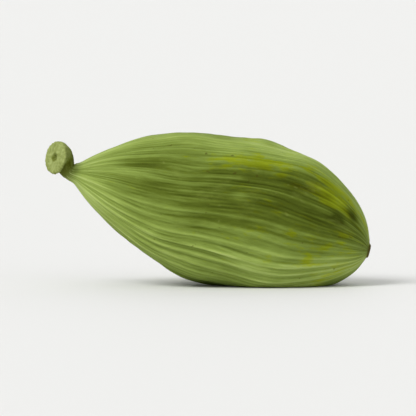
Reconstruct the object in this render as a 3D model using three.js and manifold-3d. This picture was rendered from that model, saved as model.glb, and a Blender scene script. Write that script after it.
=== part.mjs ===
// A dried green cardamom pod lying on its side: one closed, ribbed, three-angled capsule with the
// flared stub of its stalk at one end and the small scar of its flower at the other.
// Millimetres, +Z up. The stalk points to -X, and the pod rests on a small flat at z = 0.

import * as THREE from "three";
import { mergeVertices } from "three/addons/utils/BufferGeometryUtils.js";
import Module from "manifold-3d";

// Driving dimensions of the body
const BODY_LENGTH = 19.3;
const BODY_WIDTH = 9.5;
const WIDEST_SHARE = 0.57; // of the length, measured from the stalk
const BLUNTNESS = 0.48; // power of the outline's sine: smaller is blunter at both ends
const STALK_TAPER = 0.4; // share of the radius that is missing right at the stalk
const TAPER_LENGTH = 1.6; // the length over which most of that is made up
const SIDE_BOW = 0.3; // how far the middle of the body bends sideways
const STALK_LIFT = 0.27; // how far the body bends up at the stalk
const LIFT_LENGTH = 8.5; // from the stalk to where that bend starts

// The three rounded angles of the capsule
const ANGLE_COUNT = 3;
const ANGLE_RISE = 0.08; // share of the radius
const ANGLE_AT = THREE.MathUtils.degToRad(100); // the upper angle, from +Y towards +Z

// The ribs that run from end to end, and the slow change of their height round the body
const RIB_COUNT = 42;
const RIB_RISE = 0.03;
const RIB_CHANGES = [
  { share: 0.35, around: 2, phase: 1 },
  { share: 0.25, around: 5, phase: 2.2 },
];
const BOLD_RIB_COUNT = 14;
const BOLD_RIB_RISE = 0.04;
const BOLD_RIB_FADE = 0.8; // share of their height that is lost on the way to the far end
const RIB_TWIST = -0.25; // radians, from end to end
const RIB_SWAY = { turn: 0.06, along: 8.2, around: 2 }; // from side to side, in radians

// The lumps where seeds press on the husk, as waves along and round the body, in radians
const LUMPS = [
  { rise: 0.055, along: 3, around: 5, phase: 0 },
  { rise: 0.055, along: 15, around: -1, phase: 0 },
  { rise: 0.066, along: 17, around: -3, phase: 0.7 },
  { rise: 0.04, along: 31, around: 4, phase: 2 },
];
const RELIEF_FADE = 0.7; // power of the sine that lets ribs and lumps run out at both ends

// The stalk's stub: a narrow neck that flares to a disc with a pith hole
const STUB_LENGTH = 1.5;
const STUB_ROOT = 1.2; // how deep it is sunk into the body
const NECK_RADIUS = 0.55;
const NECK_START = 0.75; // from the stub's end
const NECK_STEPS = 10;
const DISC_RADIUS = 1.02;
const DISC_BACK_RADIUS = 0.82;
const DISC_THICKNESS = 0.42;
const DISC_ROUND = 0.16;
const PITH_RADIUS = 0.2;
const PITH_FLOOR_RADIUS = 0.14;
const PITH_DEPTH = 0.22;

// The flower's scar at the far end, a low blunt nub
const SCAR_RADIUS = 0.45;
const SCAR_EDGE_RADIUS = 0.4;
const SCAR_TOP_RADIUS = 0.22;
const SCAR_HEIGHT = 0.15;
const SCAR_DIP = 0.05; // of its middle, and of its edge below the top
const SCAR_ROOT = 0.6;

// How the pod lies
const TILT = THREE.MathUtils.degToRad(14); // the stalk's end is the higher one
const TURN_START = 0.25; // from here towards its end the stalk bends up, and back again
const TURN_RADIUS = 0.7;
const TURN_ANGLE = THREE.MathUtils.degToRad(60);
const ASIDE_RADIUS = 2.3; // of the wider arc in which the stalk also bends towards -Y
const FLAT_DEPTH = 0.65; // how much of the belly is pressed flat

// Facets
const SIDES_PER_RIB = 3;
const RING_COUNT = 40;
const OUTLINE_SAMPLES = 400;
const STUB_SIDES = 20;
const MERGE_DISTANCE = 1e-4;
const CUT_REACH = 4; // how many times its length and width the cutting block is larger than the body

const HUSK_COLOUR = 0x7c9034;

const wasm = await Module();
wasm.setup();

const WIDEST_POWER = Math.log(0.5) / Math.log(WIDEST_SHARE);

// Half the body's width at a share of its length.
function bodyRadius(share) {
  const wave = Math.max(Math.sin(Math.PI * share ** WIDEST_POWER), 0);
  const taper = 1 - STALK_TAPER * Math.exp((-share * BODY_LENGTH) / TAPER_LENGTH);
  return (BODY_WIDTH / 2) * taper * wave ** BLUNTNESS;
}

// The body's outline as evenly spaced points, radius against length.
function bodyOutline() {
  const samples = [];
  for (let i = 0; i <= OUTLINE_SAMPLES; i++) {
    const share = (1 - Math.cos((Math.PI * i) / OUTLINE_SAMPLES)) / 2;
    samples.push(new THREE.Vector2(bodyRadius(share), share * BODY_LENGTH));
  }
  const outline = new THREE.SplineCurve(samples).getSpacedPoints(RING_COUNT);
  outline[0].x = 0;
  outline[RING_COUNT].x = 0;
  return outline;
}

// How far ribs and lumps stand out of the smooth body, at an angle and a share of the length.
function reliefAt(angle, share) {
  let strength = 1;
  for (const change of RIB_CHANGES) {
    strength += change.share * Math.sin(change.around * angle + change.phase);
  }
  const ribs = RIB_RISE * strength * Math.cos(RIB_COUNT * angle);
  const stalkward = 1 - BOLD_RIB_FADE * share;
  const boldRibs = BOLD_RIB_RISE * stalkward * Math.cos(BOLD_RIB_COUNT * angle);
  let lumps = 0;
  for (const lump of LUMPS) {
    lumps += lump.rise * Math.sin(lump.along * share + lump.around * angle + lump.phase);
  }
  return Math.sin(Math.PI * share) ** RELIEF_FADE * (ribs + boldRibs + lumps);
}

// The sideways turn of a rib on its way along the body.
function ribDrift(angle, share) {
  const sway = Math.sin(RIB_SWAY.along * share + RIB_SWAY.around * angle) * Math.sin(Math.PI * share);
  return RIB_TWIST * (share - 0.5) + RIB_SWAY.turn * sway;
}

// The middle line: gently bent along the body, then up and back again along the stalk, and aside.
function spineAt(along) {
  const past = Math.max(TURN_START - along, 0) / TURN_RADIUS;
  const up = Math.min(past, TURN_ANGLE);
  const turned = up - THREE.MathUtils.clamp(past - TURN_ANGLE, 0, TURN_ANGLE);
  const beyond = TURN_RADIUS * Math.max(past - 2 * TURN_ANGLE, 0);
  const share = THREE.MathUtils.clamp(along / BODY_LENGTH, 0, 1);
  const level = Math.max(along, TURN_START) - beyond - TURN_RADIUS * (2 * Math.sin(up) - Math.sin(turned));
  const aside = Math.max(TURN_START - level, 0) / ASIDE_RADIUS;
  const x = Math.max(level, TURN_START) - ASIDE_RADIUS * Math.sin(aside);
  const y = SIDE_BOW * Math.sin(Math.PI * share) - ASIDE_RADIUS * (1 - Math.cos(aside));
  const lift = STALK_LIFT * (1 - THREE.MathUtils.smoothstep(along, 0, LIFT_LENGTH));
  const z = lift + TURN_RADIUS * (1 - 2 * Math.cos(up) + Math.cos(turned));
  return { centre: new THREE.Vector3(x, y, z), turned, aside };
}

// Moves a point of a turned shape, given by length, radius and angle, to its place round the spine.
function placeOnSpine(along, radius, angle) {
  const { centre, turned, aside } = spineAt(along);
  const rise = radius * Math.sin(angle);
  const back = rise * Math.sin(turned);
  const side = radius * Math.cos(angle);
  return new THREE.Vector3(
    centre.x + back * Math.cos(aside) - side * Math.sin(aside),
    centre.y + back * Math.sin(aside) + side * Math.cos(aside),
    centre.z + rise * Math.cos(turned),
  );
}

// Turns an outline round the spine and shapes each point by a function of its length, radius and angle.
function turnedShape(outline, sides, shape) {
  const geometry = new THREE.LatheGeometry(outline, sides);
  const position = geometry.attributes.position;
  for (let i = 0; i < position.count; i++) {
    const along = position.getY(i);
    const radius = Math.hypot(position.getX(i), position.getZ(i));
    const angle = Math.atan2(position.getX(i), position.getZ(i));
    const point = shape(along, radius, angle);
    position.setXYZ(i, point.x, point.y, point.z);
  }
  return geometry;
}

function husk() {
  return turnedShape(bodyOutline(), RIB_COUNT * SIDES_PER_RIB, (along, radius, angle) => {
    const share = THREE.MathUtils.clamp(along / BODY_LENGTH, 0, 1);
    const drifted = angle + ribDrift(angle, share);
    const angled = 1 + ANGLE_RISE * Math.cos(ANGLE_COUNT * (drifted - ANGLE_AT));
    const relief = radius > 0 ? reliefAt(angle, share) : 0;
    return placeOnSpine(along, radius * angled + relief, drifted);
  });
}

function stalkStub() {
  const end = -STUB_LENGTH;
  const outline = [
    [0, end + PITH_DEPTH],
    [PITH_FLOOR_RADIUS, end + PITH_DEPTH],
    [PITH_RADIUS, end],
    [DISC_RADIUS - DISC_ROUND, end],
    [DISC_RADIUS, end + DISC_ROUND],
    [DISC_BACK_RADIUS, end + DISC_THICKNESS],
  ];
  for (let i = 0; i <= NECK_STEPS; i++) {
    outline.push([NECK_RADIUS, THREE.MathUtils.lerp(end + NECK_START, STUB_ROOT, i / NECK_STEPS)]);
  }
  outline.push([0, STUB_ROOT]);
  const points = outline.map(([radius, along]) => new THREE.Vector2(radius, along));
  return turnedShape(points, STUB_SIDES, placeOnSpine);
}

function flowerScar() {
  const top = BODY_LENGTH + SCAR_HEIGHT;
  const outline = [
    [0, BODY_LENGTH - SCAR_ROOT],
    [SCAR_RADIUS, BODY_LENGTH - SCAR_ROOT],
    [SCAR_EDGE_RADIUS, top - SCAR_DIP],
    [SCAR_TOP_RADIUS, top],
    [0, top - SCAR_DIP],
  ].map(([radius, along]) => new THREE.Vector2(radius, along));
  return turnedShape(outline, STUB_SIDES, placeOnSpine);
}

function toSolid(geometry) {
  const bare = new THREE.BufferGeometry();
  bare.setAttribute("position", geometry.attributes.position);
  bare.setIndex(geometry.index);
  const merged = mergeVertices(bare, MERGE_DISTANCE);
  return new wasm.Manifold(
    new wasm.Mesh({
      numProp: 3,
      vertProperties: merged.attributes.position.array,
      triVerts: new Uint32Array(merged.index.array),
    }),
  );
}

function toGeometry(solid) {
  const mesh = solid.getMesh();
  const geometry = new THREE.BufferGeometry();
  geometry.setAttribute("position", new THREE.BufferAttribute(mesh.vertProperties, mesh.numProp));
  geometry.setIndex(new THREE.BufferAttribute(mesh.triVerts, 1));
  return geometry;
}

// Lays the grown pod down: tilted, pressed flat underneath, and centred over the origin.
function layDown(grown) {
  grown.rotateY(TILT);
  grown.computeBoundingBox();
  const block = new THREE.BoxGeometry(CUT_REACH * BODY_LENGTH, CUT_REACH * BODY_WIDTH, BODY_WIDTH);
  block.translate(0, 0, grown.boundingBox.min.z + FLAT_DEPTH - BODY_WIDTH / 2);
  const laid = toGeometry(toSolid(grown).subtract(toSolid(block)));
  laid.computeBoundingBox();
  const { min, max } = laid.boundingBox;
  laid.translate(-(min.x + max.x) / 2, -(min.y + max.y) / 2, -min.z);
  laid.computeVertexNormals();
  return laid;
}

const grown = toSolid(husk()).add(toSolid(stalkStub())).add(toSolid(flowerScar()));
const pod = new THREE.Mesh(
  layDown(toGeometry(grown)),
  new THREE.MeshStandardMaterial({ color: HUSK_COLOUR, roughness: 0.6, metalness: 0 }),
);
pod.name = "cardamom_pod";

const part = new THREE.Group();
part.add(pod);

export default part;
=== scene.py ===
# A dried green cardamom pod: its husk, stalk stub and flower scar as one fine mesh, and the studio around it.
# Shapes are worked out in millimetres and angles in radians, and the mesh is made in metres, with +Z up.
import math

import bpy
import numpy as np
from mathutils import Color, Matrix, Vector, noise


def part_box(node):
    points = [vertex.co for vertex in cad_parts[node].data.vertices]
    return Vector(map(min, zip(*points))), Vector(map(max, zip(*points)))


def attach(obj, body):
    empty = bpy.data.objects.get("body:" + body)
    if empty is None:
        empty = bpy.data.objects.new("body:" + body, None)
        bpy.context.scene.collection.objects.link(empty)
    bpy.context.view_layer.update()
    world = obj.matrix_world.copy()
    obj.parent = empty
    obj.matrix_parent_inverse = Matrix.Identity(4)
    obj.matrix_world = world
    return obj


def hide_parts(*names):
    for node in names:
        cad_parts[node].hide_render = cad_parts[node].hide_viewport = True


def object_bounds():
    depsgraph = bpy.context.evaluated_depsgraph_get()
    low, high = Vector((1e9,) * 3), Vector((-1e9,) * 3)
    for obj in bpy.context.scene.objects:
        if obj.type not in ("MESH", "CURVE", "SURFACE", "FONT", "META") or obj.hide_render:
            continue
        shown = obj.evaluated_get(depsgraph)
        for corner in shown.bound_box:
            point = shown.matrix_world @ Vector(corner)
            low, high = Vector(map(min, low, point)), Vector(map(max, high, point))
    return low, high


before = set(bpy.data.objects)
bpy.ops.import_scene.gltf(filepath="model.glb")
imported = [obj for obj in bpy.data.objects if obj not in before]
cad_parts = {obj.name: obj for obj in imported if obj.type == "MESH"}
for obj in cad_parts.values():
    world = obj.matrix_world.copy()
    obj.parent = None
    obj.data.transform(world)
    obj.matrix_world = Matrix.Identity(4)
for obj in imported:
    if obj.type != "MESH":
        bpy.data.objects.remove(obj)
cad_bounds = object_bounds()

MM = 0.001
NODE = "cardamom_pod"

# The body, as the solid has it
BODY_LENGTH = 19.3
BODY_WIDTH = 9.5
WIDEST_SHARE = 0.57
BLUNTNESS = 0.48
STALK_TAPER = 0.4
TAPER_LENGTH = 1.6
SIDE_BOW = 0.3
STALK_LIFT = 0.27
LIFT_LENGTH = 8.5
ANGLE_COUNT = 3
ANGLE_RISE = 0.08
ANGLE_AT = math.radians(100)
TILT = math.radians(14)
TURN_START = 0.25
TURN_RADIUS = 0.7
TURN_ANGLE = math.radians(60)
ASIDE_RADIUS = 2.3
FLAT_DEPTH = 0.65

# Ribs, as the solid has them, with their changes round the pod as (share, count, phase)
RIB_COUNT = 42
RIB_RISE = 0.03
RIB_CHANGES = [(0.35, 2, 1.0), (0.25, 5, 2.2)]
BOLD_RIB_COUNT = 14
BOLD_RIB_RISE = 0.04
BOLD_RIB_FADE = 0.8
RIB_TWIST = -0.25
SWAY_TURN = 0.06
SWAY_ALONG = 8.2
SWAY_AROUND = 2
RELIEF_FADE = 0.7

# Lumps, as the solid has them: (height, waves along, waves around, phase)
LUMPS = [(0.055, 3, 5, 0.0), (0.055, 15, -1, 0.0), (0.066, 17, -3, 0.7), (0.04, 31, 4, 2.0)]

# Finer relief of the dried husk, with the uneven spacing of its ribs as (turn, count, phase)
RIB_SPACING = [(0.035, 4, 0.4), (0.022, 7, 2.6)]
RIB_SHARPNESS = 2.0
RIB_STRENGTH = 0.9
RIB_STRENGTH_LIMITS = (0.25, 1.5)
STRIA_COUNT = 108
STRIA_RISE = 0.02
STRIA_STRENGTH = 0.7
WRINKLE_STRENGTH = 0.3
FLAT_BLEND = 0.1
RELIEF_RADIUS = 0.5  # relief runs out where the pod is thinner

# How much each form lightens its crests with painted light and, below 0, darkens its hollows with painted
# shade
RIB_CREST = 0.55
BOLD_RIB_CREST = 0.35
STRIA_CREST = 0.6
SHRIVEL_CREST = 4.0
FURROW_CREST = -5.0

# Noise in the relief: (height, scale along the pod, scale around it, seed)
RIB_WANDER = (0.8, 0.16, 2.2, 11.0)
RIB_PATCHES = (0.9, 0.3, 3.0, 23.0)
STRIA_WANDER = (2.4, 0.35, 5.0, 37.0)
STRIA_PATCHES = (1.2, 0.6, 6.0, 41.0)
SHRIVEL = [(0.08, 0.2, 3.6, 53.0), (0.045, 0.42, 7.5, 59.0), (0.025, 0.55, 14.0, 73.0)]
WRINKLE_PATCHES = (1.2, 0.25, 1.6, 61.0)
WRINKLES = (0.04, 1.5, 4.5, 67.0)
GRAIN = (0.014, 1.0, 26.0, 71.0)
STUB_FIBRES = [(1.0, 1.0, 7.0, 83.0), (0.6, 2.5, 16.0, 89.0)]
MARK_EDGE = (0.9, 0.7, 7.0, 97.0)

# Furrows: (angle in degrees, turn in degrees per mm, first and last mm along, depth, half width)
FURROWS = [
    (163, -2.6, 9.6, 19.0, 0.17, 0.32),
    (143, 0.5, 10.6, 16.4, 0.13, 0.5),
    (147, 0.0, 5.6, 9.4, 0.07, 0.26),
    (155, 0.0, 1.6, 6.0, 0.06, 0.2),
    (203, 0.8, 8.0, 14.5, 0.08, 0.3),
    (232, 0.4, 10.0, 18.4, 0.1, 0.34),
    (76, -0.4, 7.0, 16.0, 0.1, 0.36),
    (52, 0.8, 11.5, 18.8, 0.13, 0.32),
    (30, 0.5, 2.4, 10.0, 0.1, 0.34),
    (8, -0.9, 9.0, 17.6, 0.14, 0.36),
    (338, 0.6, 4.0, 12.0, 0.09, 0.3),
    (318, -0.5, 11.0, 18.6, 0.12, 0.34),
    (290, 0.3, 3.0, 12.5, 0.1, 0.4),
    (262, -0.4, 11.0, 17.8, 0.1, 0.3),
]

# The swollen shoulder above the flower's end, in the same terms, with its height as the depth
SHOULDER = (104, 0.0, 12.8, 19.25, 0.3, 2.6)

# Marks on the husk: (angle in degrees, mm along, half length, half width, strength), paler ones below 0
OLIVE_MARKS = [
    (128, 11.1, 2.3, 0.75, 1.2),
    (137, 16.5, 1.4, 0.8, 1.1),
    (121, 14.6, 0.7, 0.35, 0.9),
    (182, 14.4, 0.45, 0.3, 0.9),
    (195, 15.6, 0.4, 0.3, 1.0),
    (188, 16.6, 0.4, 0.3, 0.8),
    (172, 17.6, 0.4, 0.3, 0.8),
    (62, 13.5, 2.0, 0.9, 0.8),
    (18, 15.5, 1.8, 0.8, 0.8),
    (332, 9.0, 2.4, 0.8, 0.6),
    (286, 14.0, 2.0, 0.9, 0.7),
    (250, 16.4, 1.2, 0.7, 0.6),
]
# Real dark spots and patches of painted shade, with painted light where the strength is below 0
SPOT_AND_PAINTED_LIGHT_MARKS = [
    (138, 4.6, 1.7, 0.25, 0.9),
    (162, 4.8, 1.7, 0.28, 0.5),
    (139, 8.8, 1.2, 0.5, 0.6),
    (134, 13.9, 1.2, 0.7, 0.9),
    (146, 13.0, 2.2, 0.6, 0.4),
    (172, 11.0, 2.6, 1.2, 0.15),
    (168, 15.2, 2.4, 0.9, 0.45),
    (154, 16.9, 0.42, 0.32, 1.9),
    (140, 17.8, 0.45, 0.4, 1.9),
    (130, 15.0, 0.7, 0.35, 0.6),
    (210, 9.8, 2.2, 0.8, 0.2),
    (150, 3.4, 1.9, 0.35, -0.9),
    (200, 4.0, 2.2, 1.6, -0.35),
    (164, 10.6, 0.6, 0.45, -0.8),
    (166, 13.4, 1.6, 0.5, -0.35),
    (186, 12.2, 1.4, 0.5, -0.35),
    (104, 13.2, 2.2, 0.8, -0.8),
    (140, 16.7, 0.5, 0.35, -0.9),
    (206, 14.4, 3.4, 1.1, -0.5),
    (198, 17.4, 1.8, 1.4, -0.6),
    (44, 12.0, 2.2, 0.6, 0.3),
    (352, 14.0, 2.0, 0.7, 0.4),
    (302, 11.0, 2.4, 0.6, 0.4),
    (236, 17.6, 0.9, 0.6, 0.6),
    (30, 8.0, 3.6, 1.6, -0.3),
]
MARK_LIMITS = (-1.0, 2.0)
MARK_DARKNESS = 1.7

# The stub of the stalk, with its paleness as (mm from the cut end, paleness from -1 to 1): a pale cut face
# and painted shade on the neck
STUB_LENGTH = 1.5
STUB_RADIUS = 1.0
STUB_RAGGED = 0.05
STUB_PALENESS_AND_NECK_SHADE = [(0.06, 0.4), (0.16, 0.2), (0.5, 0.0), (0.8, -0.65), (1.5, -0.3)]
FIBRE_PALENESS = 0.35
PITH_DEPTH = 0.22
PITH_RING_RADIUS = 0.32
# Painted shade in the pith hole, darkest at its floor
PITH_PAINTED_SHADE = -0.15
PITH_FLOOR_PAINTED_SHADE = -0.4

# Outlines of both ends as (mm along, radius), the stub's from its cut end and the scar's from the body's end
STUB_OUTLINE = [
    (PITH_DEPTH, 0.0),
    (PITH_DEPTH, 0.1),
    (0.14, 0.17),
    (0.02, 0.21),
    (0.0, 0.36),
    (0.04, 0.66),
    (0.02, 0.86),
    (0.03, 1.03),
    (0.27, 1.06),
    (0.5, 0.92),
    (0.76, 0.7),
    (1.0, 0.56),
    (1.3, 0.52),
]
NECK_OUTLINE = [(0.1, 0.54), (0.45, 0.64)]
SCAR_OUTLINE = [(-0.02, 0.6), (0.0, 0.47), (0.12, 0.42), (0.15, 0.28), (0.08, 0.12), (0.07, 0.0)]
NECK_JOIN = 0.75
SCAR_JOIN = BODY_LENGTH - 0.16
CORNER_CUT = 0.25
CORNER_ROUNDS = 3

# Rows and columns of the mesh
COLUMNS = 432
COLUMN_STEP = 3
FULL_RADIUS = 1.3
BODY_ROW = 0.122
END_ROW = 0.085
OUTLINE_SAMPLES = 1500

# Fibre coordinates have one radius all along the husk, and go over to the true radius at both ends
GRAIN_RADIUS = 4.0
GRAIN_STOPS = [-0.8, 0.0, BODY_LENGTH - 0.1, BODY_LENGTH + 0.1]

# Colours as 0 to 255 on a screen, from dark to light
HUSK_GREENS = [
    (0.0, (61, 71, 15)),
    (0.25, (88, 102, 32)),
    (0.5, (117, 135, 59)),
    (0.75, (144, 163, 81)),
    (1.0, (173, 191, 111)),
]
OLIVE_GREENS = [
    (0.0, (60, 65, 6)),
    (0.25, (95, 105, 10)),
    (0.5, (125, 139, 20)),
    (0.75, (143, 156, 32)),
    (1.0, (168, 179, 56)),
]
STUB_SHADES = [
    (0.0, (78, 84, 16)),
    (0.3, (104, 113, 44)),
    (0.6, (139, 149, 84)),
    (1.0, (181, 193, 124)),
]
SCAR_SHADES = [
    (0.3, (62, 54, 20)),
    (0.5, (88, 80, 34)),
    (0.7, (118, 116, 56)),
]
DUST_GREEN = (136, 150, 70)
FLECK_GREEN = (146, 156, 86)
SPECK_BROWN = (70, 62, 20)
FLOOR_GREY = (228, 228, 226)

# Noise in the colours: (scale along the pod, scale around it, detail, roughness)
FIBRES = (0.5, 6.0, 6.0, 0.75)
FINE_FIBRES = (0.9, 8.0, 5.0, 0.7)
PATCHES = (0.18, 0.45, 3.0, 0.55)
MOTTLE = (0.4, 1.1, 2.0, 0.5)
OLIVE_PATCHES = (0.2, 0.75, 3.0, 0.5)
OLIVE_STREAKS = (1.1, 3.6, 5.0, 0.65)
DUST = (0.5, 1.1, 5.0, 0.7)
FLECKS = (1.3, 2.0, 2.0, 0.5)
SPECKS = (2.4, 3.4, 2.0, 0.5)
STUB_STREAKS = (1.4, 3.0, 4.0, 0.6)
SCAR_MOTTLE = (3.0, 3.0, 4.0, 0.7)

# Spans: from the first number to the second, a value goes over smoothly from 0 to 1, or between the last two
STALKWARD = (5.5, 0.5)
TIP = (3.5, 0.5)
APEX = (16.0, 19.0)
# Where the painted shade falls: on the faces, towards the far end
PAINTED_SHADE_FACES = (0.6, -0.6)
PAINTED_SHADE_FAR = (5.0, 12.5)
OLIVE_FAR = (4.0, 12.5, -0.9, -0.7)
OLIVE_SHARE = (0.52, 0.84, 0.0, 0.95)
DUST_SHARE = (0.5, 0.75, 0.0, 0.24)
FLECK_SHARE = (0.68, 0.82, 0.0, 0.4)
SPECK_SHARE = (0.29, 0.24, 0.0, 0.6)
STUB_SHARE = (0.5, -0.3)
SCAR_SHARE = (BODY_LENGTH, BODY_LENGTH + 0.12)
ROUGHNESS = (0.3, 0.7, 0.46, 0.66)

# How much lighter each thing makes the husk or the stub, in shares of its range of colours
BASE_LIGHT = -0.19
# Painted light on the pod's angles and painted shade on its faces
EDGE_PAINTED_LIGHT = 0.17
# Painted light on crests and painted shade in hollows, with the real dark spots of the marks
CREST_PAINTED_LIGHT_AND_SPOTS = 0.14
STALKWARD_LIGHT = 0.15
TIP_LIGHT = 0.15
APEX_LIGHT = 0.125
# Painted shade on the faces towards the far end
FAR_FACE_PAINTED_SHADE = -0.14
FIBRE_LIGHT = 0.55
PATCH_LIGHT = 0.55
MOTTLE_LIGHT = 0.3
OLIVE_LIGHT = 0.04
STUB_BASE_LIGHT = 0.21
STUB_CREST_LIGHT = 0.5
STUB_STREAK_LIGHT = 0.5

# The rest of the materials
OLIVE_MARK_PULL = 0.4
OLIVE_STREAK_PULL = 1.35
SCAR_RAGGED = 0.15
BUMP_STRENGTH = 0.9
BUMP_HEIGHT = 0.09 * MM
SPECULAR = 0.02
SUBSURFACE_SHARE = 0.1
SUBSURFACE_COLOURS = (1.0, 1.0, 0.4)
SUBSURFACE_DEPTH = 0.5 * MM
FLOOR_ROUGHNESS = 0.7
FLOOR_SPECULAR = 0.2

# The studio, in metres, with its suns as (name, azimuth, elevation, strength, softness) and angles in degrees
FLOOR_HALF = 4.0
CAMERA_DISTANCE = 0.35
CAMERA_ELEVATION = math.radians(3)
CAMERA_NEAR = 0.01
CAMERA_FAR = 20.0
FRAME_FILL = 0.78
SUNS = [
    ("key_light", -48, 44, 2.1, 30),
    ("fill_light", 30, 12, 0.5, 60),
    ("back_light", 165, 25, 0.5, 60),
]
WORLD_COLOUR = (1.0, 1.0, 1.0, 1.0)
WORLD_STRENGTH = 0.55

WIDEST_POWER = math.log(0.5) / math.log(WIDEST_SHARE)


# Outline

def limited(value, low=0.0, high=1.0):
    return min(max(value, low), high)


def body_radius(share):
    """The body's smooth radius at a share of its length."""
    wave = np.maximum(np.sin(np.pi * share**WIDEST_POWER), 0.0)
    taper = 1 - STALK_TAPER * np.exp(-share * BODY_LENGTH / TAPER_LENGTH)
    return BODY_WIDTH / 2 * taper * wave**BLUNTNESS


def rounded(points):
    """Cuts the corners of an open outline, so that it runs smoothly between its first and last point."""
    points = np.array(points, float)
    for _ in range(CORNER_ROUNDS):
        before = (1 - CORNER_CUT) * points[:-1] + CORNER_CUT * points[1:]
        after = CORNER_CUT * points[:-1] + (1 - CORNER_CUT) * points[1:]
        inner = np.stack([before, after], 1).reshape(-1, 2)
        points = np.vstack([points[:1], inner[1:-1], points[-1:]])
    return points


def spaced(points, step):
    """Points a step apart along an outline, with its two ends kept."""
    lengths = np.hypot(*np.diff(points, axis=0).T)
    walked = np.concatenate([[0.0], np.cumsum(lengths)])
    stops = np.linspace(0.0, walked[-1], int(round(walked[-1] / step)) + 1)
    return np.stack([np.interp(stops, walked, column) for column in points.T], 1)


def moved(points, start):
    return [(start + along, radius) for along, radius in points]


def outline():
    """The pod's outline as rows of (length, radius), from the floor of the pith hole to the flower's scar."""
    shares = (1 - np.cos(np.linspace(0, np.pi, OUTLINE_SAMPLES))) / 2
    shares = shares[(shares > NECK_JOIN / BODY_LENGTH) & (shares < SCAR_JOIN / BODY_LENGTH)]
    body = np.stack([shares * BODY_LENGTH, body_radius(shares)], 1)
    stub = rounded(moved(STUB_OUTLINE, -STUB_LENGTH) + NECK_OUTLINE + [tuple(body[0])])
    scar = rounded([tuple(body[-1])] + moved(SCAR_OUTLINE, BODY_LENGTH))
    return np.vstack([spaced(stub, END_ROW)[:-1], spaced(body, BODY_ROW), spaced(scar, END_ROW)[1:]])


# Relief

def field(along, angle, height, along_scale, around_scale, seed):
    """Smooth noise on the husk, with its own scales along and around the pod."""
    round_y = np.cos(angle) * around_scale
    round_z = np.sin(angle) * around_scale
    lengthwise = np.broadcast_to(along * along_scale + seed, round_y.shape)
    return height * np.array([noise.noise(point) for point in zip(lengthwise, round_y, round_z)])


def fields(along, angle, table):
    return sum(field(along, angle, *row) for row in table)


def waves(table, value):
    """The sum of sine waves given as (height, count, phase)."""
    return sum(height * np.sin(count * value + phase) for height, count, phase in table)


def sharp_crest(turn):
    """A wave from -1 to 1 whose crests are narrower than its hollows."""
    return 2 * (0.5 + 0.5 * np.cos(turn)) ** RIB_SHARPNESS - 1


def rib_drift(angle, share):
    """How far the ribs are turned round the pod, by their twist, sway and uneven spacing."""
    sway = math.sin(math.pi * share) * np.sin(SWAY_ALONG * share + SWAY_AROUND * angle)
    return RIB_TWIST * (share - 0.5) + SWAY_TURN * sway + waves(RIB_SPACING, angle)


def round_offset(angle, degrees):
    """The way round from an angle in degrees, between minus and plus half a turn."""
    return (angle - math.radians(degrees) + math.pi) % (2 * math.pi) - math.pi


def marks(along, angle, radius, table):
    """How strongly each spot lies in one of the marks, which have soft, ragged edges."""
    ragged = 1 + field(along, angle, *MARK_EDGE)
    inside = np.zeros(len(angle))
    for degrees, centre, half_length, half_width, strength in table:
        lengthwise = (along - centre) / half_length
        crosswise = round_offset(angle, degrees) * radius / half_width
        inside += strength * np.exp(-ragged * (lengthwise**2 + crosswise**2))
    return np.clip(inside, *MARK_LIMITS)


def long_forms(along, angle, radius, table):
    """Depth or height of soft forms that run along the husk."""
    total = np.zeros(len(angle))
    for degrees, turn, start, end, most, half_width in table:
        reach = (along - start) / (end - start)
        if 0 < reach < 1:
            centre = degrees + turn * (along - (start + end) / 2)
            crosswise = round_offset(angle, centre) * radius / half_width
            total += most * math.sin(math.pi * reach) * np.exp(-(crosswise**2))
    return total


def rib_forms(along, angle, share):
    """Fine ribs, bold ribs and striae, each as a wave about 0."""
    patchy = np.clip(RIB_STRENGTH + field(along, angle, *RIB_PATCHES), *RIB_STRENGTH_LIMITS)
    strength = (1 + waves(RIB_CHANGES, angle)) * patchy
    ribs = strength * sharp_crest(RIB_COUNT * angle + field(along, angle, *RIB_WANDER))
    bold = (1 - BOLD_RIB_FADE * share) * sharp_crest(BOLD_RIB_COUNT * angle)
    stria_turn = STRIA_COUNT * angle + field(along, angle, *STRIA_WANDER)
    striae = np.cos(stria_turn) * (STRIA_STRENGTH + field(along, angle, *STRIA_PATCHES))
    return ribs, bold, striae


def lump_height(angle, share):
    return sum(
        height * np.sin(waves_along * share + waves_around * angle + phase)
        for height, waves_along, waves_around, phase in LUMPS
    )


def wrinkle_height(along, angle):
    """Height of the short wrinkles, which come in patches."""
    wrinkled = np.clip(WRINKLE_STRENGTH + field(along, angle, *WRINKLE_PATCHES), 0, 1)
    return wrinkled * field(along, angle, *WRINKLES)


def husk_relief(along, angle, share, radius):
    """Height of all forms over the smooth husk, and the painted light and shade they put on each spot."""
    ribs, bold, striae = rib_forms(along, angle, share)
    shrivel = fields(along, angle, SHRIVEL)
    sunk = long_forms(along, angle, radius, FURROWS)
    swollen = long_forms(along, angle, radius, [SHOULDER])
    height = (
        RIB_RISE * ribs
        + BOLD_RIB_RISE * bold
        + lump_height(angle, share)
        + STRIA_RISE * striae
        + shrivel
        + wrinkle_height(along, angle)
        + field(along, angle, *GRAIN)
        - sunk
    )
    tone_and_painted_light = (
        RIB_CREST * ribs
        + BOLD_RIB_CREST * bold
        + STRIA_CREST * striae
        + SHRIVEL_CREST * shrivel
        + FURROW_CREST * sunk
    )
    fade = math.sin(math.pi * share) ** RELIEF_FADE
    return fade * height + swollen, tone_and_painted_light


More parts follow.
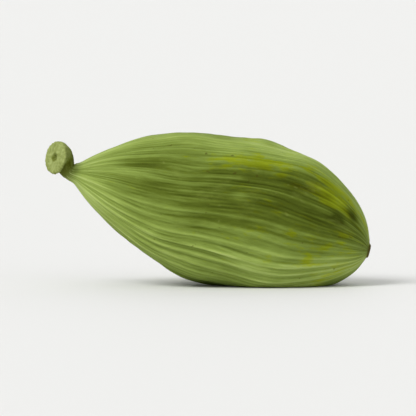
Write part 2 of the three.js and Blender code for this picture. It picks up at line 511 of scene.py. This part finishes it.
def stub_relief(along, angle, radius):
    """Height of the torn fibres on the stub and the scar, and how pale each spot is, from about -1 to 1, with
    painted shade on the neck and in the pith hole.
    """
    fibres = sum(
        field(along, angle, height, along_scale, around_scale * radius, seed)
        for height, along_scale, around_scale, seed in STUB_FIBRES
    )
    paleness_and_shade = np.interp(along + STUB_LENGTH, *zip(*STUB_PALENESS_AND_NECK_SHADE))
    if radius < PITH_RING_RADIUS:
        paleness_and_shade = PITH_PAINTED_SHADE
    return STUB_RAGGED * min(radius, STUB_RADIUS) ** 2 * fibres, paleness_and_shade + FIBRE_PALENESS * fibres


# Placing

def spine(along):
    """The place of the bent middle line, and how far it is turned up and aside there."""
    past = max(TURN_START - along, 0.0) / TURN_RADIUS
    up = min(past, TURN_ANGLE)
    turned = up - limited(past - TURN_ANGLE, high=TURN_ANGLE)
    beyond = TURN_RADIUS * max(past - 2 * TURN_ANGLE, 0.0)
    level = max(along, TURN_START) - beyond - TURN_RADIUS * (2 * math.sin(up) - math.sin(turned))
    aside = max(TURN_START - level, 0.0) / ASIDE_RADIUS
    bow = SIDE_BOW * math.sin(math.pi * limited(along / BODY_LENGTH))
    reach = limited(along / LIFT_LENGTH)
    lift = STALK_LIFT * (1 - reach**2 * (3 - 2 * reach))
    x = max(level, TURN_START) - ASIDE_RADIUS * math.sin(aside)
    y = bow - ASIDE_RADIUS * (1 - math.cos(aside))
    z = lift + TURN_RADIUS * (1 - 2 * math.cos(up) + math.cos(turned))
    return (x, y, z), turned, aside


def on_spine(along, radius, angle):
    """The place of points given by length, radius and angle round the bent middle line."""
    (middle_x, middle_y, middle_z), turned, aside = spine(along)
    rise = radius * np.sin(angle)
    back = rise * math.sin(turned)
    side = radius * np.cos(angle)
    x = middle_x + back * math.cos(aside) - side * math.sin(aside)
    y = middle_y + back * math.sin(aside) + side * math.cos(aside)
    z = middle_z + rise * math.cos(turned)
    return np.stack([x, y, z], 1)


def ring_columns(radius):
    """How many columns the mesh has, fewer where the pod is thin."""
    if radius > FULL_RADIUS:
        return COLUMNS
    if radius > PITH_RING_RADIUS:
        return COLUMNS // COLUMN_STEP
    return COLUMNS // COLUMN_STEP**2


def ring(along, radius):
    """One row of the mesh: its points, and the values that the material reads at each."""
    count = ring_columns(radius)
    angle = 2 * np.pi * np.arange(count) / count
    share = limited(along / BODY_LENGTH)
    drifted = angle + rib_drift(angle, share)
    if 0 < share < 1:
        relief, tone_and_painted_light = husk_relief(along, angle, share, radius)
        # The angles' wave shapes the pod and also paints light on its angles and shade on its faces
        edge = np.cos(ANGLE_COUNT * (drifted - ANGLE_AT))
        olive = marks(along, angle, radius, OLIVE_MARKS)
        # Real dark spots, with painted shade and painted light, darken or lighten the tone
        tone_and_painted_light = tone_and_painted_light - MARK_DARKNESS * marks(along, angle, radius, SPOT_AND_PAINTED_LIGHT_MARKS)
    else:
        relief, tone_and_painted_light = stub_relief(along, angle, radius)
        edge = np.zeros(count)
        olive = np.zeros(count)
    relief = relief * min(radius / RELIEF_RADIUS, 1.0)
    points = on_spine(along, radius * (1 + ANGLE_RISE * edge) + relief, drifted)
    grain_radius = np.interp(along, GRAIN_STOPS, [radius, GRAIN_RADIUS, GRAIN_RADIUS, radius])
    along = np.full(count, along)
    grain = np.stack([along, np.cos(angle) * grain_radius, np.sin(angle) * grain_radius], 1)
    return {"points": points, "tone_and_painted_light": tone_and_painted_light, "edge": edge, "olive": olive, "along": along, "grain": grain}


def lay_down(points):
    """Tilts the pod, presses its belly flat with a soft edge, and sets it in the solid's box."""
    turn = np.array(Matrix.Rotation(TILT, 3, "Y"))
    points = points @ turn.T
    low, high = (np.array(corner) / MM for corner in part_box(NODE))
    height = points[:, 2] - points[:, 2].min() - FLAT_DEPTH
    points[:, 2] = (height + np.sqrt(height**2 + FLAT_BLEND**2)) / 2
    points[:, 2] += low[2] - points[:, 2].min()
    middle = (points.min(0) + points.max(0)) / 2
    points[:, :2] += ((low + high) / 2 - middle)[:2]
    return points


# Mesh

def quads(first, second, count):
    """Faces between two rings of as many points."""
    near = np.arange(count)
    far = (near + 1) % count
    return np.stack([first + near, second + near, second + far, first + far], 1).tolist()


def stitched(fine, coarse, coarse_count, fine_first):
    """Faces between a ring and a coarser one, which has a point for each column step."""
    faces = []
    fine_count = coarse_count * COLUMN_STEP
    for i in range(coarse_count):
        here = coarse + i
        there = coarse + (i + 1) % coarse_count
        row = [fine + (i * COLUMN_STEP + k) % fine_count for k in range(COLUMN_STEP + 1)]
        group = [[here, row[k + 1], row[k]] for k in range(COLUMN_STEP - 1)]
        group.append([here, there, row[-1], row[-2]])
        faces += group if fine_first else [face[::-1] for face in group]
    return faces


def end_fan(first, count, pole, at_stalk):
    """Faces from the first or last ring to the pole that closes it."""
    near = first + np.arange(count)
    far = first + (np.arange(count) + 1) % count
    sides = [near, far] if at_stalk else [far, near]
    return np.stack([*sides, np.full(count, pole)], 1).tolist()


def all_faces(counts):
    """Faces between neighbouring rings, and fans to the two poles, which come after the rings' points."""
    starts = np.concatenate([[0], np.cumsum(counts)]).tolist()
    total = starts.pop()
    faces = []
    for i in range(1, len(counts)):
        if counts[i] == counts[i - 1]:
            faces += quads(starts[i - 1], starts[i], counts[i])
        elif counts[i] < counts[i - 1]:
            faces += stitched(starts[i - 1], starts[i], counts[i], True)
        else:
            faces += stitched(starts[i], starts[i - 1], counts[i - 1], False)
    faces += end_fan(starts[0], counts[0], total, True)
    faces += end_fan(starts[-1], counts[-1], total + 1, False)
    return faces


def add_attribute(mesh, name, kind, field_name, values):
    layer = mesh.attributes.new(name, kind, "POINT")
    layer.data.foreach_set(field_name, values.astype(np.float32).ravel())


def add_attributes(mesh, rings, pole_lengths):
    """Puts the values that the material reads on the points of the rings and the two poles."""
    none = np.zeros(2)
    # Painted shade on the floor of the pith hole, none on the scar
    pole_painted_shade = np.array([PITH_FLOOR_PAINTED_SHADE, 0.0])
    at_poles = {"tone_and_painted_light": pole_painted_shade, "edge": none, "olive": none, "along": pole_lengths}
    for name, values in at_poles.items():
        whole = np.concatenate([row[name] for row in rings] + [values])
        add_attribute(mesh, name, "FLOAT", "value", whole)
    pole_grain = np.stack([pole_lengths, none, none], 1)
    whole = np.vstack([row["grain"] for row in rings] + [pole_grain])
    add_attribute(mesh, "grain", "FLOAT_VECTOR", "vector", whole)


def pod_mesh():
    """The whole pod as one closed mesh, with a pole in the pith hole and one on the scar."""
    rows = outline()
    rings = [ring(along, radius) for along, radius in rows[1:-1]]
    pole_lengths = rows[[0, -1], 0]
    poles = [on_spine(along, np.zeros(1), np.zeros(1)) for along in pole_lengths]
    points = lay_down(np.vstack([row["points"] for row in rings] + poles))
    mesh = bpy.data.meshes.new("cardamom_husk")
    mesh.from_pydata((points * MM).tolist(), [], all_faces([len(row["points"]) for row in rings]))
    add_attributes(mesh, rings, pole_lengths)
    mesh.shade_smooth()
    mesh.update()
    return mesh


# Materials

def colour(red, green, blue):
    """A colour given as 0 to 255 on a screen, as linear light."""
    linear = Color((red / 255, green / 255, blue / 255)).from_srgb_to_scene_linear()
    return (*linear, 1.0)


class Paint:
    """Builds a material's nodes by short calls that hand sockets on."""

    # The colour sockets of a mix node, which come after those for numbers and vectors
    MIX_FIRST = 6
    MIX_SECOND = 7
    MIX_RESULT = 2

    def __init__(self, name):
        self.material = bpy.data.materials.new(name)
        self.material.use_nodes = True
        self.tree = self.material.node_tree
        self.shader = self.tree.nodes["Principled BSDF"]

    def node(self, kind, **settings):
        made = self.tree.nodes.new(kind)
        for key, value in settings.items():
            setattr(made, key, value)
        return made

    def plug(self, value, socket):
        """Links a socket to another, or sets it to a plain value."""
        if isinstance(value, bpy.types.NodeSocket):
            self.tree.links.new(value, socket)
        else:
            socket.default_value = value

    def attribute(self, name, vector=False):
        made = self.node("ShaderNodeAttribute", attribute_name=name)
        return made.outputs["Vector"] if vector else made.outputs["Fac"]

    def math(self, operation, first, second):
        made = self.node("ShaderNodeMath", operation=operation)
        self.plug(first, made.inputs[0])
        self.plug(second, made.inputs[1])
        return made.outputs[0]

    def noise(self, grain, along, around, detail, roughness):
        """Noise with its own scales along and around the pod."""
        scaled = self.node("ShaderNodeVectorMath", operation="MULTIPLY")
        self.plug(grain, scaled.inputs[0])
        scaled.inputs[1].default_value = (along, around, around)
        made = self.node("ShaderNodeTexNoise")
        self.plug(scaled.outputs[0], made.inputs["Vector"])
        made.inputs["Scale"].default_value = 1.0
        made.inputs["Detail"].default_value = detail
        made.inputs["Roughness"].default_value = roughness
        return made.outputs["Fac"]

    def span(self, value, low, high, to_low=0.0, to_high=1.0):
        made = self.node("ShaderNodeMapRange", interpolation_type="SMOOTHSTEP")
        self.plug(value, made.inputs["Value"])
        made.inputs["From Min"].default_value = low
        made.inputs["From Max"].default_value = high
        made.inputs["To Min"].default_value = to_low
        made.inputs["To Max"].default_value = to_high
        return made.outputs["Result"]

    def mix(self, share, first, second):
        made = self.node("ShaderNodeMix", data_type="RGBA")
        self.plug(share, made.inputs[0])
        self.plug(first, made.inputs[self.MIX_FIRST])
        self.plug(second, made.inputs[self.MIX_SECOND])
        return made.outputs[self.MIX_RESULT]

    def total(self, *parts, start=0.0):
        """The sum of (socket, factor) pairs and a starting value."""
        summed = start
        for value, factor in parts:
            summed = self.math("ADD", self.math("MULTIPLY", value, factor), summed)
        return summed

    def ramp(self, value, stops):
        made = self.node("ShaderNodeValToRGB")
        self.plug(value, made.inputs[0])
        row = made.color_ramp.elements
        while len(row) < len(stops):
            row.new(1.0)
        for element, (place, shade) in zip(row, stops):
            element.position = place
            element.color = colour(*shade)
        return made.outputs[0]

    def bump(self, height, strength, distance):
        made = self.node("ShaderNodeBump")
        made.inputs["Strength"].default_value = strength
        made.inputs["Distance"].default_value = distance
        self.plug(height, made.inputs["Height"])
        return made.outputs["Normal"]

    def set(self, name, value):
        self.plug(value, self.shader.inputs[name])


def husk_tone(paint, grain, tone_and_painted_light, edge, along):
    """How light the husk is: angles and rib crests paler with painted light, hollows darker with painted
    shade, ends paler, and faces towards the far end darker with painted shade.
    """
    far_face_shade = paint.math("MULTIPLY", paint.span(edge, *PAINTED_SHADE_FACES), paint.span(along, *PAINTED_SHADE_FAR))
    return paint.total(
        (edge, EDGE_PAINTED_LIGHT),
        (tone_and_painted_light, CREST_PAINTED_LIGHT_AND_SPOTS),
        (paint.span(along, *STALKWARD), STALKWARD_LIGHT),
        (paint.span(along, *TIP), TIP_LIGHT),
        (paint.span(along, *APEX), APEX_LIGHT),
        (far_face_shade, FAR_FACE_PAINTED_SHADE),
        (paint.noise(grain, *FIBRES), FIBRE_LIGHT),
        (paint.noise(grain, *PATCHES), PATCH_LIGHT),
        (paint.noise(grain, *MOTTLE), MOTTLE_LIGHT),
        start=BASE_LIGHT,
    )


def olive_share(paint, grain, olive, along):
    """How olive the husk is: in its olive marks and in streaky patches, most of all towards the far end."""
    likely = paint.total(
        (paint.noise(grain, *OLIVE_PATCHES), 1.0),
        (paint.noise(grain, *OLIVE_STREAKS), OLIVE_STREAK_PULL),
        (olive, OLIVE_MARK_PULL),
        (paint.span(along, *OLIVE_FAR), 1.0),
    )
    return paint.span(likely, *OLIVE_SHARE)


def husk_colour(paint, grain, tone_and_painted_light, edge, olive, along):
    """Green husk with olive patches, dusty bloom, pale flecks and a few dark specks."""
    tone = husk_tone(paint, grain, tone_and_painted_light, edge, along)
    greens = paint.ramp(tone, HUSK_GREENS)
    olives = paint.ramp(paint.math("ADD", tone, OLIVE_LIGHT), OLIVE_GREENS)
    base = paint.mix(olive_share(paint, grain, olive, along), greens, olives)
    spots = [
        (DUST, DUST_SHARE, DUST_GREEN),
        (FLECKS, FLECK_SHARE, FLECK_GREEN),
        (SPECKS, SPECK_SHARE, SPECK_BROWN),
    ]
    for pattern, share, shade in spots:
        base = paint.mix(paint.span(paint.noise(grain, *pattern), *share), base, colour(*shade))
    return base


def stub_colour(paint, grain, tone_and_painted_light):
    """Dry stalk end: a pale cut face and a neck darkened by painted shade, both streaked."""
    streaks = paint.noise(grain, *STUB_STREAKS)
    shade = paint.total((tone_and_painted_light, STUB_CREST_LIGHT), (streaks, STUB_STREAK_LIGHT), start=STUB_BASE_LIGHT)
    return paint.ramp(shade, STUB_SHADES)


def husk_material():
    paint = Paint("cardamom_husk")
    grain = paint.attribute("grain", vector=True)
    tone_and_painted_light = paint.attribute("tone_and_painted_light")
    edge = paint.attribute("edge")
    olive = paint.attribute("olive")
    along = paint.attribute("along")
    body = husk_colour(paint, grain, tone_and_painted_light, edge, olive, along)
    whole = paint.mix(paint.span(along, *STUB_SHARE), body, stub_colour(paint, grain, tone_and_painted_light))
    scar_noise = paint.noise(grain, *SCAR_MOTTLE)
    scar = paint.span(paint.total((scar_noise, SCAR_RAGGED), (along, 1.0)), *SCAR_SHARE)
    fine = paint.noise(grain, *FINE_FIBRES)
    paint.set("Base Color", paint.mix(scar, whole, paint.ramp(scar_noise, SCAR_SHADES)))
    paint.set("Roughness", paint.span(fine, *ROUGHNESS))
    paint.set("Normal", paint.bump(fine, BUMP_STRENGTH, BUMP_HEIGHT))
    paint.set("Specular IOR Level", SPECULAR)
    paint.set("Subsurface Weight", SUBSURFACE_SHARE)
    paint.set("Subsurface Radius", SUBSURFACE_COLOURS)
    paint.set("Subsurface Scale", SUBSURFACE_DEPTH)
    return paint.material


def floor_material():
    paint = Paint("studio_floor")
    paint.set("Base Color", colour(*FLOOR_GREY))
    paint.set("Roughness", FLOOR_ROUGHNESS)
    paint.set("Specular IOR Level", FLOOR_SPECULAR)
    return paint.material


# Pieces

def link(name, data):
    made = bpy.data.objects.new(name, data)
    bpy.context.scene.collection.objects.link(made)
    return made


def add_pod():
    pod = link("cardamom_husk", pod_mesh())
    pod.data.materials.append(husk_material())
    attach(pod, "root")
    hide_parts(NODE)


# Studio

def add_floor():
    mesh = bpy.data.meshes.new("floor")
    corners = [(x * FLOOR_HALF, y * FLOOR_HALF, 0.0) for x, y in ((-1, -1), (1, -1), (1, 1), (-1, 1))]
    mesh.from_pydata(corners, [], [(0, 1, 2, 3)])
    mesh.materials.append(floor_material())
    link("floor", mesh)


def aim(thing, place, target):
    thing.location = place
    thing.rotation_euler = (Vector(target) - Vector(place)).to_track_quat("-Z", "Y").to_euler()


def add_camera(low, high):
    middle = (Vector(low) + Vector(high)) / 2
    width = (high[0] - low[0]) / FRAME_FILL
    data = bpy.data.cameras.new("camera")
    data.angle = 2 * math.atan(width / 2 / CAMERA_DISTANCE)
    data.clip_start = CAMERA_NEAR
    data.clip_end = CAMERA_FAR
    camera = link("camera", data)
    back = Vector((0, -math.cos(CAMERA_ELEVATION), math.sin(CAMERA_ELEVATION))) * CAMERA_DISTANCE
    aim(camera, middle + back, middle)
    bpy.context.scene.camera = camera


def add_sun(name, azimuth, elevation, strength, softness):
    data = bpy.data.lights.new(name, "SUN")
    data.energy = strength
    data.angle = math.radians(softness)
    sun = link(name, data)
    flat = math.cos(math.radians(elevation))
    turn = math.radians(azimuth)
    place = Vector((math.sin(turn) * flat, -math.cos(turn) * flat, math.sin(math.radians(elevation))))
    aim(sun, place, (0, 0, 0))


def add_lights():
    for sun in SUNS:
        add_sun(*sun)
    world = bpy.data.worlds.new("studio")
    world.use_nodes = True
    background = world.node_tree.nodes["Background"]
    background.inputs["Color"].default_value = WORLD_COLOUR
    background.inputs["Strength"].default_value = WORLD_STRENGTH
    bpy.context.scene.world = world


def main():
    bpy.context.scene.view_settings.view_transform = "Standard"
    add_pod()
    add_floor()
    add_camera(*cad_bounds)
    add_lights()


main()
